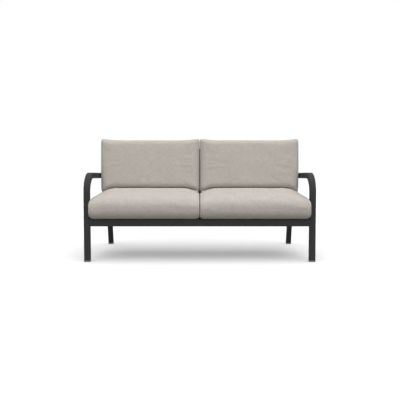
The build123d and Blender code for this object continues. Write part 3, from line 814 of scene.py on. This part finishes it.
def make_cushions(context, kind, corners_at, steps, patch, flare, phases):
    """Make the left and the right cushion of a kind, fill them and put them in the frame.

    The fabric folds on the front and the top and is pressed flat elsewhere, and only faces that look
    to the middle press on each other. Both are eased in by the share of a normal that points there.
    """
    sizes = context.scene.loveseat_cushions
    fabric = bpy.data.materials.get("woven_olefin") or woven_fabric(context.scene.loveseat_finishes)
    forms = [CushionForm(sign, corners_at, steps, patch, flare, sizes) for sign in (-1, 1)]
    heights = fill_covers(forms, sizes, phases)
    for side, sign, form, height in zip(("left", "right"), (-1, 1), forms, heights):
        name = side + "_" + kind
        normal = form.normals()
        bulge = sizes.press * ease_in(-sign * normal[:, 0], 0.2, 0.9)
        free = np.maximum(ease_in(-normal[:, 1], 0.3, 0.7), ease_in(normal[:, 2], 0.5, 0.9))
        if kind == "seat":
            behind = form.vertices[:, 1] - FRONT_FACE
            free *= 1 - ease_in(behind, *SEAT_FOLDS_END)
            ahead = ease_in(-behind, *NOSE_AHEAD)
            bulge += sizes.side_bulge * ahead * ease_in(sign * normal[:, 0], 0.2, 0.8)
        places = finish_cover(form, height, FOLD_ROOM * free, bulge, name + "_zip", sizes)
        piece = bpy.data.objects.new(name + "_cushion", form.mesh(name + "_cushion", places))
        context.scene.collection.objects.link(piece)
        piece.data.materials.append(fabric)
        finer = piece.modifiers.new("finer", "SUBSURF")
        finer.levels = finer.render_levels = 1
        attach(piece, name + "_cushion")
        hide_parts(name + "_cover", name + "_core")


class LOVESEAT_OT_stage(bpy.types.Operator):
    """Make the camera, the soft light, the world and the pale floor."""

    bl_idname = "loveseat.stage"
    bl_label = "Stage"

    def execute(self, context):
        scene = context.scene
        stage = scene.loveseat_stage
        scene.view_settings.view_transform = "Standard"

        lens = bpy.data.cameras.new("camera")
        lens.sensor_width = SENSOR_WIDTH
        lens.lens = stage.lens
        lens.shift_x = stage.shift
        camera = bpy.data.objects.new("camera", lens)
        camera.location = (0, FRONT_FACE - stage.camera_distance, stage.camera_height)
        camera.rotation_euler = (math.pi / 2 - stage.camera_pitch, 0, 0)
        scene.collection.objects.link(camera)
        scene.camera = camera

        light = bpy.data.lights.new("overhead", "SUN")
        light.energy = stage.overhead
        light.angle = stage.spread
        lamp = bpy.data.objects.new("overhead", light)
        lamp.rotation_euler = (stage.tilt, stage.roll, 0)
        scene.collection.objects.link(lamp)

        world = bpy.data.worlds.new("studio")
        world.use_nodes = True
        world.node_tree.nodes.clear()
        toward = add_node(world, "ShaderNodeTexCoord").outputs["Generated"]
        aside = add_node(world, "ShaderNodeSeparateXYZ", {0: toward})
        aside = add_node(world, "ShaderNodeMath", {0: aside.outputs[0]}, operation="ABSOLUTE")
        middle, side = stage.ambient * stage.ambient_middle, stage.ambient * stage.ambient_side
        soft = add_node(world, "ShaderNodeMapRange", {0: aside.outputs[0], 3: middle, 4: side})
        strength = add_node(world, "ShaderNodeMix", {0: seen_plainly(world), 2: soft.outputs[0], 3: 1.0})
        sky = add_node(world, "ShaderNodeBackground", {0: (1, 1, 1, 1), 1: strength.outputs[0]})
        add_node(world, "ShaderNodeOutputWorld", {0: sky.outputs[0]})
        scene.world = world

        material = new_material("studio_floor")
        seen = seen_plainly(material)
        shade = add_node(
            material, "ShaderNodeMix",
            {0: seen, 6: tint(stage.floor_bounce, 1), 7: tint(stage.floor, 1)}, data_type="RGBA",
        )
        matt = add_node(material, "ShaderNodeBsdfDiffuse", {0: shade.outputs[2]})
        glow = add_node(material, "ShaderNodeMath", {0: seen, 1: stage.floor_glow}, operation="MULTIPLY")
        lift = add_node(material, "ShaderNodeEmission", {"Strength": glow.outputs[0]})
        both = add_node(material, "ShaderNodeAddShader", {0: matt.outputs[0], 1: lift.outputs[0]})
        add_node(material, "ShaderNodeOutputMaterial", {0: both.outputs[0]})
        reach = stage.floor_side / 2
        corners = [(-reach, -reach, 0), (reach, -reach, 0), (reach, reach, 0), (-reach, reach, 0)]
        mesh = bpy.data.meshes.new("floor")
        mesh.from_pydata(corners, [], [(0, 1, 2, 3)])
        mesh.materials.append(material)
        floor = bpy.data.objects.new("floor", mesh)
        scene.collection.objects.link(floor)
        return {"FINISHED"}


class LOVESEAT_OT_seat_cushions(bpy.types.Operator):
    """Make the two seat cushions."""

    bl_idname = "loveseat.seat_cushions"
    bl_label = "Seat cushions"

    def execute(self, context):
        make_cushions(
            context, "seat", seat_corners, SEAT_STEPS, SEAT_PATCH, flare=0.0, phases=(0.4, 2.1)
        )
        return {"FINISHED"}


class LOVESEAT_OT_back_cushions(bpy.types.Operator):
    """Make the two back cushions."""

    bl_idname = "loveseat.back_cushions"
    bl_label = "Back cushions"

    def execute(self, context):
        make_cushions(
            context, "back", back_corners, BACK_STEPS, BACK_PATCH, flare=BACK_FLARE, phases=(1.3, 3.7)
        )
        return {"FINISHED"}


class LOVESEAT_OT_frame_coat(bpy.types.Operator):
    """Powder coat the welded frame and its brackets."""

    bl_idname = "loveseat.frame_coat"
    bl_label = "Frame coat"

    def execute(self, context):
        pairs = ("side_hoop", "side_rail", "back_post", "back_bottom_rail")
        nodes = [side + pair for side in ("left_", "right_") for pair in pairs]
        nodes += ["front_seat_rail", "rear_seat_rail", "centre_seat_stretcher", "seat_slats"]
        nodes += ["back_centre_post", "back_top_rail", "back_slats", "corner_brackets"]
        dress(nodes, powder_coat(context.scene.loveseat_finishes))
        return {"FINISHED"}


class LOVESEAT_OT_plastic_parts(bpy.types.Operator):
    """Finish the glides and the post caps."""

    bl_idname = "loveseat.plastic_parts"
    bl_label = "Glides and caps"

    def execute(self, context):
        finishes = context.scene.loveseat_finishes
        glides = ["front_left_glide", "front_right_glide", "rear_left_glide", "rear_right_glide"]
        dress(glides, moulded_plastic("moulded_nylon", finishes.glide, grit=0.0012, roughness=0.5))
        caps = moulded_plastic("moulded_polypropylene", finishes.cap, grit=0.0009, roughness=0.6)
        dress(["left_post_cap", "right_post_cap"], caps)
        return {"FINISHED"}


class LOVESEAT_OT_fasteners(bpy.types.Operator):
    """Plate the bolts, washers and weld nuts."""

    bl_idname = "loveseat.fasteners"
    bl_label = "Fasteners"

    def execute(self, context):
        nodes = [place + kind for place in ("corner_", "arm_") for kind in ("bolts", "washers", "weld_nuts")]
        dress(nodes, plated_steel(context.scene.loveseat_finishes))
        return {"FINISHED"}


class LOVESEAT_OT_zips(bpy.types.Operator):
    """Finish the zips and their sliders."""

    bl_idname = "loveseat.zips"
    bl_label = "Zips"

    def execute(self, context):
        finishes = context.scene.loveseat_finishes
        for kind, across in (("seat", 2), ("back", 1)):
            material = zip_finish(kind + "_zip_tape_and_teeth", finishes, "left_" + kind + "_zip", across)
            dress(["left_" + kind + "_zip", "right_" + kind + "_zip"], material)
        sliders = [side + kind + "_zip_slider" for side in ("left_", "right_") for kind in ("seat", "back")]
        enamel = moulded_plastic("enamelled_zinc_slider", finishes.teeth, grit=0.0015, roughness=0.35)
        dress(sliders, enamel)
        return {"FINISHED"}


class LOVESEAT_PT_sidebar(bpy.types.Panel):
    """The loveseat's pieces in the 3D view's sidebar."""

    bl_idname = "LOVESEAT_PT_sidebar"
    bl_label = "Loveseat"
    bl_space_type = "VIEW_3D"
    bl_region_type = "UI"
    bl_category = "Loveseat"

    def draw(self, context):
        for operator in OPERATORS:
            self.layout.operator(operator.bl_idname)
        for group in GROUPS:
            settings = getattr(context.scene, group)
            box = self.layout.box()
            for name in settings.__annotations__:
                box.prop(settings, name)


GROUPS = {
    "loveseat_cushions": LoveseatCushionSizes,
    "loveseat_finishes": LoveseatFinishes,
    "loveseat_stage": LoveseatStage,
}
OPERATORS = (
    LOVESEAT_OT_stage,
    LOVESEAT_OT_seat_cushions,
    LOVESEAT_OT_back_cushions,
    LOVESEAT_OT_frame_coat,
    LOVESEAT_OT_plastic_parts,
    LOVESEAT_OT_fasteners,
    LOVESEAT_OT_zips,
)


def register():
    """Register the property groups, operators and panel."""
    for name, group in GROUPS.items():
        bpy.utils.register_class(group)
        setattr(bpy.types.Scene, name, PointerProperty(type=group))
    for part in (*OPERATORS, LOVESEAT_PT_sidebar):
        bpy.utils.register_class(part)


def unregister():
    """Undo register, in reverse."""
    for part in (LOVESEAT_PT_sidebar, *reversed(OPERATORS)):
        bpy.utils.unregister_class(part)
    for name, group in reversed(GROUPS.items()):
        delattr(bpy.types.Scene, name)
        bpy.utils.unregister_class(group)


def main():
    """Make every piece in order."""
    register()
    bpy.ops.loveseat.stage()
    bpy.ops.loveseat.seat_cushions()
    bpy.ops.loveseat.back_cushions()
    bpy.ops.loveseat.frame_coat()
    bpy.ops.loveseat.plastic_parts()
    bpy.ops.loveseat.fasteners()
    bpy.ops.loveseat.zips()


if __name__ == "__main__":
    main()
